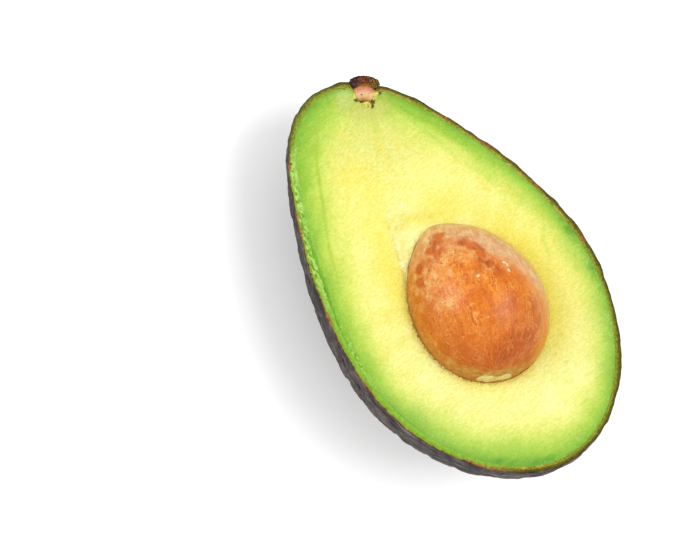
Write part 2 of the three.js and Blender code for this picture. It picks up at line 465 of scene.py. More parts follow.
def skin_rows():
    """The skin's rows of vertices: up its lining, across the rim that the knife cut, and down its outside."""
    down = np.linspace(math.pi / 2, 0, HIDDEN_ROWS + 1)
    lining = sunk(cast(rays(down), outside_fruit, SKIN_THICKNESS))
    depth = np.linspace(0, math.pi / 2, SKIN_ROWS)
    smooth = cast(rays(depth), outside_fruit, 0)
    normal = outward(smooth, 0)
    below = -smooth[..., 2]
    level = fade(below, 0, LEVEL_DEPTH)[..., None]
    normal = normal * (1 - level * np.array((0, 0, 1)))
    normal /= np.linalg.norm(normal, axis=-1, keepdims=True)
    relief, crease = pebble_relief(sunk(smooth))
    relief *= mix(RELIEF_AT_RIM, 1.0, smoothstep(below, *RELIEF_DEPTHS))
    around = smooth / SKIN_WRINKLE_SIZE + layers(smooth, SKIN_WRINKLE_SWAY)[..., None]
    fine = layers(smooth, *SKIN_FINE) + layers(around, SKIN_WRINKLES) * fade(below, *WRINKLE_DEPTHS)
    outer = sunk(smooth) + normal * (relief + layers(smooth, SKIN_SWELL) + fine)[..., None]
    outer[..., 2] = np.where(below < 1e-6, 0, outer[..., 2])
    share = np.linspace(0, 1, RIM_ROWS + 2)[1:-1, None, None]
    rim = mix(lining[-1], outer[0], share)
    rim[..., 2] += layers(rim, *RIM_RAGGED) * np.sin(math.pi * share[..., 0])
    rows = np.concatenate((lining, rim, outer))
    hidden = np.zeros(lining.shape[:2])
    flat_rim = 0 * rim[..., 0]
    x, y = rows[..., 0], rows[..., 1]
    tan_side = smoothstep(x, 0, 14) * smoothstep(y, -20, 0)
    return rows, {
        "rim": np.concatenate((hidden + 1, 1 - share[..., 0] + flat_rim, 0 * below)),
        "below": np.concatenate((hidden, flat_rim, below)),
        "crease": np.concatenate((hidden, flat_rim, crease)),
        "rusty": near_places(rows, RUSTY_PLACES, 1.7),
        "frayed": smoothstep(y, 4, 20) * smoothstep(-x, 10, 15) * fade(y, 43, 46),
        "olive": smoothstep(y, 22, 36) * smoothstep(-x, -8, 2),
        # painted shade: where the rind is darker on its left side, towards the stem
        "shaded_side": smoothstep(y, -26, 14) * smoothstep(-x, 4, 16),
        "toward_stem": smoothstep(y + 1.1 * x, -12, 30),
        "tan_side": np.maximum(tan_side, near_places(rows, TAN_PLACES, 3)),
        "covered": smoothstep(-x - 6 * fade(y, -40, 0), 8, 15) * fade(y, 40, 47),
    }


# Flesh, with lines and places on the cut face, and the scraps round the stub with their radii

RIDGE = ((-0.9, 29.1), (-3.3, 22.8), (-5.9, 16.7), (-8.4, 10.0), (-10.0, 5.3), (-11.8, 0.6))
ABOVE_RIDGE = ((-4.5, 31.0), (-3.5, 25.5), (-7.5, 19.0), (6.5, 14.5), (11.0, 12.0))
GREEN_LINE = (
    (-4.9, 45.6), (-8.6, 41.5), (-11.3, 37.6), (-15.1, 30.4), (-20.1, 21.5), (-22.7, 15.0), (-24.6, 10.5), (-27.4, 3.5),
)
DEEP_GREEN = ((-17.4, -41.0), (-14.2, -44.2), (-10.6, -46.2), (-7.6, -47.6), (29.0, -20.0), (31.0, -8.0))
YELLOW_STREAKS = (
    ((-6.0, 34.0), (-7.2, 31.7)), ((-8.9, 29.3), (-9.2, 27.9)), ((3.9, 30.8), (3.5, 27.8)), ((8.7, 32.4), (8.3, 30.6)),
    ((5.2, 35.7), (4.1, 31.0)), ((-1.4, 40.3), (-0.6, 39.2)), ((19.4, 14.6), (20.1, 10.2)), ((24.0, 9.5), (24.8, 5.4)),
)
RIGHT_STREAKS = ((27.6, 1.6), (27.8, -1.8), (27.7, -5.0)), ((25.9, -4.1), (23.7, -7.2), (22.6, -11.0))
FOLD = ((-2.4, 15.2), (-0.6, 15.9), (1.9, 15.0), (5.2, 13.3))
RIM_FOLD = ((-22.4, 27.0), (-25.6, 17.0), (-28.8, 8.0), (-31.0, -1.0), (-32.0, -7.0))
STEM_FOLDS = ((4.9, 49.2), (1.5, 49.2)), ((12.6, 43.4), (17.2, 36.5), (20.0, 30.0))
PALE_PLACES = ((2.0, -36.0), (10.0, -34.0))
NECK_PLACES = ((5.0, 42.0), (-5.0, 44.0))
HEEL_PLACES = ((-28.0, -28.0), (-22.0, -38.0), (-14.0, -41.0), (-9.0, -46.0))
LEFT_PLACES = ((-13.0, 29.0), (-16.5, 22.0), (-20.0, 15.0))
RIGHT_PLACES = ((20.0, -8.0), (19.0, -24.0))
HALO_PLACES = ((4.5, 46.0), (6.4, 43.6), (8.0, 42.0), (10.5, 41.5))
CRAZED_PLACES = ((27.0, -18.0), (22.0, -31.0))
FLAP_PLACES = ((5.1, 48.1), (4.4, 48.2), (4.2, 47.4), (12.6, 45.0))
FLAKES = ((7.0, 47.0, 0.5), (6.8, 46.3, 0.35), (11.3, 44.5, 0.9), (10.7, 43.6, 0.6), (8.0, 43.7, 0.7), (8.7, 43.3, 0.5))
CRUMBS = (
    (6.9, 45.5, 0.45), (7.5, 44.9, 0.3), (9.9, 43.2, 0.5), (10.5, 43.8, 0.4), (9.4, 42.7, 0.4), (8.6, 42.1, 0.25),
    (6.0, 49.5, 0.35), (5.3, 50.2, 0.3), (12.7, 43.9, 0.3),
)
FAN_TIP = np.array((1.5, 1.0))
FAN_TURN = 0.42
FAN_HALF_WIDTH = (0.45, 1.0)
FAN_SWAY = (0.12, 5, 41)
FAN_START = (2.2, 4.5)
FAN_END = (14, 26)
SPOT_EDGE = (-0.1, 0.12)

# How the flesh meets the skin and the seed
WALL_OVERLAP = 0.02
EVEN_ROWS = 0.6
LIP_DEPTH = (0.3, 0.8)
LIP_REACH = (0.9, 1.4)
FAR_OFF = {"to_rim": 20, "to_seed": 0, "green_line": 9, "streak": 9, "right_streak": 9, "pace": 1}


def ragged_spots(points, places, seed):
    """1 inside any of some round places on the cut face, given with a radius, with ragged steep edges."""
    depths = [radius - np.hypot(points[..., 0] - x, points[..., 1] - y) for x, y, radius in places]
    depth = np.max(depths, axis=0)
    nearby = depth > -2
    depth[nearby] += layers(points[nearby], (0.5, 0.8, seed), (0.3, 0.35, seed + 1))
    return smoothstep(depth, *SPOT_EDGE)


def ridge_side(points):
    """How far each point lies to the right of the torn ridge, in millimetres, and how far along it, from 0 to 1."""
    ys = [y for _, y in reversed(RIDGE)]
    xs = [x for x, _ in reversed(RIDGE)]
    right = points[..., 0] - np.interp(points[..., 1], ys, xs)
    along = np.clip((points[..., 1] - ys[0]) / (ys[-1] - ys[0]), 0, 1)
    return right, 1 - along


def near_rim(points, rim):
    """The distance of each point to the vertices of a rim."""
    tree = tree_of(rim)
    flat = points.reshape(-1, 3).tolist()
    return np.array([tree.find(p)[2] for p in flat]).reshape(points.shape[:-1])


def stem_fibres(points):
    """Soft streaks, from about -1 to 1, that run out from the stem through the flesh and past the seed."""
    away = points - STEM_BASE
    distance = np.hypot(away[..., 0], away[..., 1])
    angle = np.arctan2(away[..., 0], -away[..., 1])
    spread = np.stack((7 * angle, 0.05 * distance, 0 * angle), -1)
    return lumps(spread, 0.5, 18) * smoothstep(distance, 3, 12)


def stem_fan(points):
    """1 in the paler fan that opens from below the stem towards the seed, and 0 outside it."""
    away = points - STEM_BASE
    distance = np.hypot(away[..., 0], away[..., 1])
    angle = np.arctan2(away[..., 0] + FAN_TIP[0], -away[..., 1] - FAN_TIP[1]) + FAN_TURN
    sides = fade(np.abs(angle + layers(points, FAN_SWAY)), *FAN_HALF_WIDTH)
    return sides * smoothstep(distance, *FAN_START) * fade(distance, *FAN_END)


def face_relief(face, to_rim, to_seed, leftness):
    """The depth of the lip by the seed, the height of the relief on the cut face, and what its colours need of both."""
    x, y = face[..., 0], face[..., 1]
    lip = mix(*LIP_DEPTH, leftness) * np.exp(-((to_seed / mix(*LIP_REACH, leftness)) ** 1.3))
    right, along = ridge_side(face)
    torn = smoothstep(right, -0.3, 1.1) * fade(right, 4, 9) * smoothstep(along, 0.1, 0.55) * fade(-y, -1, 6)
    rough = layers(face, *TORN_ROUGH)
    fringe = fade(to_rim + layers(face, FRINGE_EDGE), 0.4, 1.2)
    fringe *= smoothstep(-x, 9, 14) * smoothstep(y, -16, 0) * fade(y, 43, 49)
    fold = near_line(face, FOLD)
    rim_fold = near_line(face, RIM_FOLD) + layers(face, RIM_FOLD_SWAY)
    flakes = ragged_spots(face, FLAKES, 36)
    crumbs = ragged_spots(face, CRUMBS, 38) * (1 - flakes)
    height = layers(face, FACE_SWELL) * smoothstep(to_rim, 0, 4) + layers(face, FACE_WAVES) * smoothstep(to_rim, 0, 2)
    height += layers(face, FACE_FINE)
    height += torn * (rough - TORN_DEPTH * smoothstep(to_seed, 0, 2.5)) - lip
    height += fringe * (FRINGE_HEIGHT + layers(face, *FRINGE_FRAYED))
    height += (FLAKE_HEIGHT + layers(face, FLAKE_ROUGH)) * flakes - CRUMB_DEPTH * crumbs
    height -= FOLD_DEPTH * falloff(fold, 1.4)
    height -= RIM_FOLD_DEPTH * falloff(rim_fold, 0.35) - RIM_FOLD_LIP * falloff(rim_fold - 0.9, 0.4)
    height -= STEM_FOLD_DEPTH * falloff(near_lines(face, STEM_FOLDS), 0.8)
    beside_ridge = falloff(right + 2.4, 3.6) * smoothstep(along, 0.0, 0.5) * fade(-y, -4, 6)
    return lip, height, {
        "torn": torn, "rough": rough, "fringe": fringe, "flakes": flakes, "crumbs": crumbs,
        "fold": falloff(fold, 1.3), "rim_fold": falloff(rim_fold, 0.4), "beside_ridge": beside_ridge,
        "lip": leftness * falloff(to_seed, 0.6),
    }


def face_tints(face, to_rim, to_seed, azimuth, beside_ridge):
    """Where the flesh is yellower, paler or greener, or has streaks, and where painted shade from the seed deepens its
    yellow: each from 0 to 1, or a distance.
    """
    # Painted shade, with the seed's reflected light: the flesh deeper yellow to the right of the seed
    shade_beside_seed = falloff(to_seed, 6) * smoothstep(np.cos(azimuth + 0.25), 0.15, 0.9)
    below_seed = falloff(to_seed, 3.5) * smoothstep(-np.sin(azimuth - 0.35), -0.2, 0.6)
    above_ridge = near_places(face, ABOVE_RIDGE, 4.5)
    deep_yellows_and_seed_shade = shade_beside_seed, 0.75 * beside_ridge, 0.5 * below_seed, 0.6 * above_ridge
    pale = falloff(to_seed, 9) * smoothstep(-np.sin(azimuth + 0.35), 0.1, 0.7)
    neck = near_places(face, NECK_PLACES, 13)
    slower = 0.38 * neck + 0.42 * near_places(face, HEEL_PLACES, 9) + 0.18 * near_places(face, LEFT_PLACES, 9)
    round_seed = np.stack((9 * np.cos(azimuth), 9 * np.sin(azimuth), 0.05 * to_seed), -1)
    return {
        "deep_yellow_and_seed_shade": np.max(deep_yellows_and_seed_shade, axis=0), "pale": np.maximum(pale, near_places(face, PALE_PLACES, 6)),
        "pace": 1 - slower + 0.2 * near_places(face, RIGHT_PLACES, 12),
        "neck": neck, "fan": stem_fan(face), "fibres": stem_fibres(face), "rays": lumps(round_seed, 1, 42),
        "green_line": near_line(face, GREEN_LINE) + 0.012 * np.abs(face[..., 1] - 34),
        "streak": near_lines(face, YELLOW_STREAKS), "right_streak": near_lines(face, RIGHT_STREAKS),
        "deep_green": near_places(face, DEEP_GREEN, 3.2) * fade(to_rim, 0.6, 3),
        "halo": near_places(face, HALO_PLACES, 3.0), "crazed": near_places(face, CRAZED_PLACES, 8),
        "flap": near_places(face, FLAP_PLACES, 1.3),
    }


def flesh_rows():
    """The flesh's rows of vertices: up the seed's hollow, across the cut face, and down its back."""
    down = np.linspace(math.pi / 2, 0, HIDDEN_ROWS + 1)
    hollow = cast(rays(down), outside_seed, SEED_GAP)
    back = sunk(cast(rays(down[::-1]), outside_fruit, SKIN_THICKNESS - WALL_OVERLAP))
    share = np.linspace(0, 1, FACE_ROWS + 2)[1:-1]
    share = (EVEN_ROWS * share + (1 - EVEN_ROWS) * (1 - np.cos(math.pi * share)) / 2)[:, None, None]
    face = mix(hollow[-1], back[0], share)
    to_rim = near_rim(face, back[0])
    to_seed = near_rim(face, hollow[-1])
    azimuth = np.arctan2(face[..., 1] - HUB[1], face[..., 0] - HUB[0])
    leftness = smoothstep(-np.cos(azimuth - 0.2), 0.1, 0.9)
    lip, height, marks = face_relief(face, to_rim, to_seed, leftness)
    off_seed = smoothstep(to_seed, -0.01, 0.3)
    face[..., 2] += height * smoothstep(to_rim, 0, 0.5) * off_seed
    face[..., 2] -= lip * (1 - off_seed)
    hollow[-1, :, 2] -= lip[0]
    marks.update(face_tints(face, to_rim, to_seed, azimuth, marks.pop("beside_ridge")), to_rim=to_rim, to_seed=to_seed)
    blank = np.zeros(hollow.shape[:2])
    attributes = {key: np.concatenate((blank + FAR_OFF.get(key, 0), value, blank)) for key, value in marks.items()}
    return np.concatenate((hollow, face, back)), attributes


# Seed, with places on its coat

BASE_PATCH = np.array((-7.9, -24.9, 3.3))
WINDOWS = (
    (1.2, 8.7, 5.1), (-0.4, 7.8, 5.9), (-2.6, 7.0, 5.9), (-1.6, 5.2, 8.0), (-5.3, 5.5, 5.9), (-6.9, 5.0, 4.8),
    (3.9, 4.3, 9.2), (4.6, 2.2, 10.5), (4.9, -0.5, 11.8), (3.2, -1.5, 12.5), (4.6, -3.2, 12.9), (1.6, -2.6, 13.2),
    (-9.0, 2.4, 4.8), (5.0, -5.6, 13.0),
)
WEBS = (
    (-4.7, 4.0, 7.9), (-2.9, 3.0, 9.2), (-0.6, 3.6, 9.8), (0.9, 2.4, 10.8), (2.2, 0.9, 11.6), (-6.4, 2.2, 8.2),
    (-8.6, 1.0, 7.4), (-9.8, -1.0, 7.0), (-9.4, -4.2, 8.6), (-7.6, 7.0, 2.0), (3.4, -3.4, 13.2), (-7.8, -5.4, 10.4),
)
LOBE = (
    (10.6, -14.0, 10.8), (9.6, -17.4, 10.6), (9.0, -20.6, 9.2), (7.8, -23.4, 7.4), (6.0, -25.6, 5.2), (3.6, -27.3, 3.0),
)
DUSKY = ((-1.1, -20.9, 11.5), (-4.5, -22.4, 9.4), (2.0, -22.0, 10.4), (8.2, -17.4, 11.4), (7.6, -20.4, 10.2))
TAN_BASE = (
    (-16.6, -13.4, 3.2), (-15.0, -16.8, 3.2), (-13.2, -19.4, 3.2), (-11.0, -21.4, 3.6), (-8.8, -23.6, 4.0),
    (-6.4, -25.0, 4.4), (-3.8, -26.2, 4.8), (-1.2, -27.2, 3.6),
)
SCAR = ((-9.8, -23.8, 1.6), (-8.3, -24.9, 1.8), (-6.8, -25.8, 1.9), (-5.0, -26.7, 2.4))
COAT_LEAN = 36
COAT_TOP = 0.78


def seed_rows():
    """The seed's rows of vertices, from its narrow end by the stem to its broad one, and what its coat needs."""
    polar = np.linspace(0, math.pi, SEED_ROWS)[:, None]
    turn = np.linspace(-math.pi, math.pi, SEED_COLUMNS, endpoint=False)
    height = np.cos(polar) + 0 * turn
    radius = SEED_WIDTH / 2 * np.sin(polar) * seed_girth(height)
    own = np.stack((radius * np.sin(turn), SEED_LENGTH / 2 * height, radius * np.cos(turn)), -1)
    own *= 1 + layers(own, *SEED_UNEVEN)[..., None]
    lobe = near_line(own @ SEED_IN_CUT.T + SEED_MIDDLE, LOBE)
    own *= 1 - LOBE_DEPTH * falloff(lobe, 0.7)[..., None]
    rows = own @ SEED_IN_CUT.T + SEED_MIDDLE
    pole = (BASE_PATCH - SEED_MIDDLE) / np.linalg.norm(BASE_PATCH - SEED_MIDDLE)
    side = np.cross(pole, (0, 0, 1))
    side /= np.linalg.norm(side)
    away = rows - SEED_MIDDLE
    round_pole = np.arctan2(away @ np.cross(pole, side), away @ side)
    from_pole = np.arccos(np.clip(away @ pole / np.linalg.norm(away, axis=-1), -1, 1))
    degrees = np.degrees(turn) + 0 * height
    tears = layers(rows, *COAT_TEARS)
    coat_edge = COAT_LEAN * (COAT_TOP - height)
    return rows, {
        "coat": smoothstep(degrees + tears, coat_edge - 6, coat_edge + 14),
        "right": smoothstep(degrees, 8, 50), "left": smoothstep(-degrees, 22, 58),
        "point": smoothstep(height + tears / 60, 0.62, 0.95),
        "brink": smoothstep(-degrees + tears / 2, 64, 82) * smoothstep(180 - np.abs(degrees), 60, 90),
        "fibre_x": np.cos(round_pole), "fibre_y": np.sin(round_pole), "from_pole": from_pole,
        "height": height, "lobe": falloff(lobe, 0.55),
        "windows": near_places(rows, WINDOWS, 1.9), "webs": near_places(rows, WEBS, 2.0),
        "dusky": near_places(rows, DUSKY, 3.2), "tan_base": near_places(rows, TAN_BASE, 2.2),
        "scar": near_places(rows, SCAR, 1.9),
    }


# Stem stub, with its profile from its tip in the flesh to the middle of its cap

STEM_HEIGHTS = (-STEM_NECK_LENGTH, -STEM_NECK_LENGTH, -1.8, -0.7, -0.1, 0.3, 1.1, 2.1, 2.8, STEM_CAP_HEIGHT)
STEM_RADII = (0, STEM_TIP_RADIUS, 2.1, STEM_NECK_RADIUS, 2.8, 3.35, STEM_CAP_RADIUS, 3.2, 1.9, 0)

# Where cork turns to wood along the stub, how that line bends at its sides, and how proud the wood stands of the cut
CORK_LINE = 0.6
CORK_LINE_BEND = 1.2 / 3.1**2
CORK_BORDER = 0.3
WOOD_SHARE = 0.55


def stem_rows():
    """The stub's rows of vertices, from the top of its cap, and how deep into its wood each lies."""
    share = np.linspace(1, 0, STEM_ROWS)[:, None]
    turn = np.linspace(0, 2 * math.pi, STEM_COLUMNS, endpoint=False)
    steps = np.linspace(0, 1, len(STEM_HEIGHTS))
    radius, height = (np.interp(share, steps, profile) for profile in (STEM_RADII, STEM_HEIGHTS))
    own = np.stack((radius * np.sin(turn), height + 0 * turn, radius * np.cos(turn)), -1)
    wood = CORK_LINE - own[..., 1] - CORK_LINE_BEND * own[..., 0] ** 2
    cork = fade(wood, -CORK_BORDER, CORK_BORDER)
    own += own * (layers(own, *CORK_GRAINS) * cork / 3)[..., None] * np.array((1, 0.6, 1))
    proud = STEM_PROUD * mix(WOOD_SHARE, 1.0, cork) + cork * layers(own, CORK_PROUD) + layers(own, WOOD_PROUD)
    own[..., 2] = np.minimum(own[..., 2], proud)
    return own @ STEM_IN_CUT.T + STEM_BASE, {"wood": wood, "across": own[..., 0]}


# Materials

STUDIO_LIGHT = 1.34


def linear(red, green, blue):
    """The surface colour, as the linear one that Blender mixes, that looks like a screen's 0 to 255 in this studio."""
    parts = [c / 255 for c in (red, green, blue)]
    seen = [c / 12.92 if c <= 0.04045 else ((c + 0.055) / 1.055) ** 2.4 for c in parts]
    return [c / STUDIO_LIGHT for c in seen] + [1]


class Nodes:
    """Short calls that make and join a material's nodes."""

    def __init__(self, name):
        self.material = bpy.data.materials.new(name)
        self.material.use_nodes = True
        self.tree = self.material.node_tree
        self.shader = self.tree.nodes["Principled BSDF"]
        self.place = self.new("ShaderNodeTexCoord").outputs["Object"]

    def new(self, kind, **settings):
        node = self.tree.nodes.new(kind)
        for key, value in settings.items():
            setattr(node, key, value)
        return node

    def feed(self, socket, value):
        if isinstance(value, bpy.types.NodeSocket):
            self.tree.links.new(value, socket)
        else:
            socket.default_value = value

    def of(self, name):
        """The mesh's attribute of that name."""
        return self.new("ShaderNodeAttribute", attribute_name=name).outputs["Fac"]

    def math(self, operation, *values):
        node = self.new("ShaderNodeMath", operation=operation)
        for socket, value in zip(node.inputs, values):
            self.feed(socket, value)
        return node.outputs[0]

    def times(self, first, second):
        return self.math("MULTIPLY", first, second)

    def plus(self, first, second):
        return self.math("ADD", first, second)

    def scaled(self, value, by, middle=0.5):
        """A number multiplied, and moved by an amount."""
        return self.math("MULTIPLY_ADD", value, by, middle)

    def noise(self, size_mm, detail=2.0, stretch=None, roughness=0.5):
        """Noise from 0 to 1 with features of that size."""
        return self.noise_at(self.stretched(stretch), detail, 1 / (size_mm * MM), roughness)

    def crisp(self, size_mm, detail=4, stretch=None):
        """Noise with more of its fine detail."""
        return self.noise(size_mm, detail, stretch, 0.65)

    def noise_at(self, place, detail=2.0, scale=1.0, roughness=0.5):
        node = self.new("ShaderNodeTexNoise")
        self.feed(node.inputs["Vector"], place)
        node.inputs["Scale"].default_value = scale
        node.inputs["Detail"].default_value = detail
        node.inputs["Roughness"].default_value = roughness
        return node.outputs["Fac"]

    def joined(self, *parts):
        """A place made of three numbers."""
        node = self.new("ShaderNodeCombineXYZ")
        for socket, value in zip(node.inputs, parts):
            self.feed(socket, value)
        return node.outputs[0]

    def spread(self, value, reach):
        """A number from 0 to 1 as one from minus reach to reach."""
        return self.scaled(value, 2 * reach, -reach)

    def spots(self, places, radius_mm, ragged_mm=0.0):
        """1 within a radius of any of some places against the cut face, and 0 elsewhere, with a ragged edge."""
        nearest = None
        for place in places:
            node = self.new("ShaderNodeVectorMath", operation="DISTANCE")
            self.feed(node.inputs[0], self.place)
            node.inputs[1].default_value = placed(np.array(place, float))
            gap = node.outputs["Value"]
            nearest = gap if nearest is None else self.math("MINIMUM", nearest, gap)
        gap = self.plus(self.times(nearest, 1 / MM), self.spread(self.noise(0.7, 2), ragged_mm))
        return self.ramp(self.times(gap, 0.5 / radius_mm), (0.42, 1.0), (0.56, 0.0))

    def stretched(self, scale):
        """The place on the piece, scaled along each axis where a scale is given."""
        if not scale:
            return self.place
        mapping = self.new("ShaderNodeMapping")
        mapping.inputs["Scale"].default_value = scale
        self.feed(mapping.inputs["Vector"], self.place)
        return mapping.outputs[0]

    def cells(self, size_mm, feature="F1", stretch=None):
        """The distance to the middle, or to the edge, of the cell that each place is in."""
        node = self.new("ShaderNodeTexVoronoi", feature=feature)
        self.feed(node.inputs["Vector"], self.stretched(stretch))
        node.inputs["Scale"].default_value = 1 / (size_mm * MM)
        return node.outputs["Distance"]

    def dots(self, size_mm, girth, patch_mm, low, high, most):
        """Small dots in patches: none where a broad noise is below low, at their strongest where it is above high."""
        dot = self.math("LESS_THAN", self.cells(size_mm), girth)
        return self.times(dot, self.ramp(self.noise(patch_mm, 2), (low, 0.0), (high, most)))

    def ramp(self, value, *stops):
        """A colour for each value: a stop is a place with a grey, a linear colour in a list, or a screen's colour."""
        node = self.new("ShaderNodeValToRGB")
        self.feed(node.inputs["Fac"], value)
        elements = node.color_ramp.elements
        while len(elements) < len(stops):
            elements.new(0.5)
        for element, (position, *colour) in zip(elements, stops):
            element.position = position
            if len(colour) == 3:
                element.color = linear(*colour)
            else:
                element.color = colour[0] if isinstance(colour[0], list) else colour * 3 + [1]
        return node.outputs["Color"]

    def mix(self, share, low, high, blend="MIX"):
        """Two colours mixed, where the second may be a screen colour."""
        node = self.new("ShaderNodeMix", data_type="RGBA", blend_type=blend)
        self.feed(node.inputs["Factor"], share)
        self.feed(node.inputs[6], low)
        self.feed(node.inputs[7], linear(*high) if isinstance(high, tuple) else high)
        return node.outputs[2]

    def tint(self, colour, name, share, other):
        """The colour, with as much of another mixed in as a share of the attribute of that name."""
        return self.mix(self.times(self.of(name), share), colour, other)

    def shaded(self, colour, by, share=1.0):
        return self.mix(share, colour, by, "MULTIPLY")

    def threads(self, value):
        """Near 0 along thin lines, where a noise crosses its middle, and larger away from them."""
        return self.math("ABSOLUTE", self.spread(value, 1.0))

    def bump(self, height, depth_mm, strength=1.0, under=None):
        node = self.new("ShaderNodeBump")
        node.inputs["Strength"].default_value = strength
        node.inputs["Distance"].default_value = depth_mm * MM
        self.feed(node.inputs["Height"], height)
        if under:
            self.feed(node.inputs["Normal"], under)
        return node.outputs[0]

    def finish(self, colour, roughness, normal, **constants):
        self.feed(self.shader.inputs["Base Color"], colour)
        self.feed(self.shader.inputs["Roughness"], roughness)
        self.feed(self.shader.inputs["Normal"], normal)
        for key, value in constants.items():
            self.shader.inputs[key.replace("_", " ")].default_value = value
        return self.material


def skin_material():
    """Dark pebbled rind with rusty specks, and the olive and tan line where the knife cut it."""
    n = Nodes("rind")
    rim, below = n.of("rim"), n.of("below")
    # Dark purple-brown rind lightened to grey-purple at random, partly painted sheen of the white studio
    broad = n.ramp(n.noise(7, 4), (0.34, 56, 47, 45), (0.66, 128, 114, 106))
    # Painted shade: the rind darker in the creases between its pebbles
    rind = n.tint(broad, "crease", 0.65, (26, 18, 18))
    near_edge = n.ramp(n.times(n.plus(below, n.spread(n.noise(2, 3), 0.8)), 1 / 4), (0.1, 0.9), (1.0, 0.0))
    green_edge = n.times(near_edge, n.of("toward_stem"))
    rind = n.mix(green_edge, rind, n.ramp(n.noise(1.5, 3), (0.4, 84, 62, 14), (0.6, 92, 88, 12)))
    wrinkles = n.noise(1.2, 4, (0.17, 0.17, 1.0), 0.6)
    # Painted light and shade: the rind lighter and darker along its wrinkles, following their bump
    rind = n.shaded(rind, n.ramp(wrinkles, (0.4, 0.4), (0.55, 1.14)))
    # Painted shade: the rind darker on its left side, towards the stem
    rind = n.tint(rind, "shaded_side", 0.72, (44, 36, 34))
    # Painted highlights: thin pale grey streaks along the wrinkles, fading away from the rim
    lines = n.ramp(n.threads(n.noise(1.5, 3, (0.11, 0.11, 1.0), 0.6)), (0.0, 0.6), (0.1, 0.0))
    lines = n.times(lines, n.ramp(n.times(below, 1 / 16), (0.6, 1.0), (1.0, 0.0)))
    rind = n.mix(n.times(lines, n.ramp(n.noise(3, 2), (0.42, 0.2), (0.58, 1.0))), rind, (136, 130, 126))
    leather = n.ramp(n.cells(1.3, "DISTANCE_TO_EDGE", (0.5, 0.5, 1.0)), (0.0, 0.0), (0.22, 1.0))
    # Painted shade: the rind darker along the fine creases between its leathery cells
    rind = n.shaded(rind, n.ramp(leather, (0.0, 0.5), (0.7, 1.04)), 0.75)
    speck = n.math("LESS_THAN", n.cells(1.7), 0.12)
    some = n.math("GREATER_THAN", n.noise(5, 2), 0.52)
    rind = n.mix(n.times(speck, some), rind, (160, 84, 56))
    across = n.plus(rim, n.spread(n.noise(0.8, 3), 0.3))
    edge = n.ramp(
        across,
        (0.0, 66, 34, 12), (0.12, 84, 70, 4), (0.45, 100, 106, 8),
        (0.64, 138, 138, 28), (0.8, 154, 154, 42), (0.94, 104, 140, 12),
    )
    tan = n.times(n.ramp(across, (0.5, 0.0), (0.7, 1.0)), n.ramp(n.noise(1.8, 3), (0.42, 0.0), (0.58, 0.9)))
    edge = n.mix(n.times(tan, n.of("tan_side")), edge, (192, 162, 66))
    olive = n.ramp(across, (0.0, 70, 72, 18), (0.4, 120, 134, 30), (0.8, 142, 164, 48))
    edge = n.tint(edge, "olive", 0.7, olive)
    grains = n.ramp(n.crisp(0.5), (0.36, [0.66, 0.6, 0.5, 1]), (0.6, [1.16, 1.16, 1.2, 1]))
    edge = n.shaded(edge, grains)
    green = n.ramp(
        across,
        (0.04, 84, 56, 18), (0.13, 146, 126, 36), (0.24, 156, 162, 46), (0.4, 126, 172, 36), (0.6, 134, 190, 46),
    )
    bits = n.ramp(n.noise(0.6, 3, (1.0, 0.6, 1.0), 0.6), (0.36, [0.72, 0.84, 0.6, 1]), (0.6, [1.16, 1.08, 1.4, 1]))
    edge = n.mix(n.of("covered"), edge, n.shaded(green, bits))
    torn_green = n.ramp(
        n.noise(0.6, 3, (1.0, 0.5, 1.0), 0.6), (0.36, 84, 140, 24), (0.46, 146, 196, 62), (0.6, 192, 230, 116),
    )
    edge = n.mix(n.times(n.of("frayed"), n.ramp(across, (0.3, 0.0), (0.5, 0.9))), edge, torn_green)
    outer_half = n.ramp(across, (0.3, 1.0), (0.75, 0.1))
    rust = n.times(n.times(n.of("rusty"), outer_half), n.ramp(n.noise(0.9, 3), (0.42, 0.15), (0.54, 1.0)))
    edge = n.mix(rust, edge, n.ramp(n.noise(0.7, 3), (0.38, 124, 58, 32), (0.62, 186, 112, 66)))
    colour = n.mix(n.math("GREATER_THAN", rim, 0.001), rind, edge)
    roughness = n.ramp(n.noise(2.5, 3), (0.3, 0.46), (0.7, 0.64))
    normal = n.bump(n.noise(0.5, 4), 0.12, 0.6, n.bump(leather, 0.16, 0.8, n.bump(wrinkles, 0.45, 0.9)))
    return n.finish(colour, roughness, normal, Specular_IOR_Level=0.14)


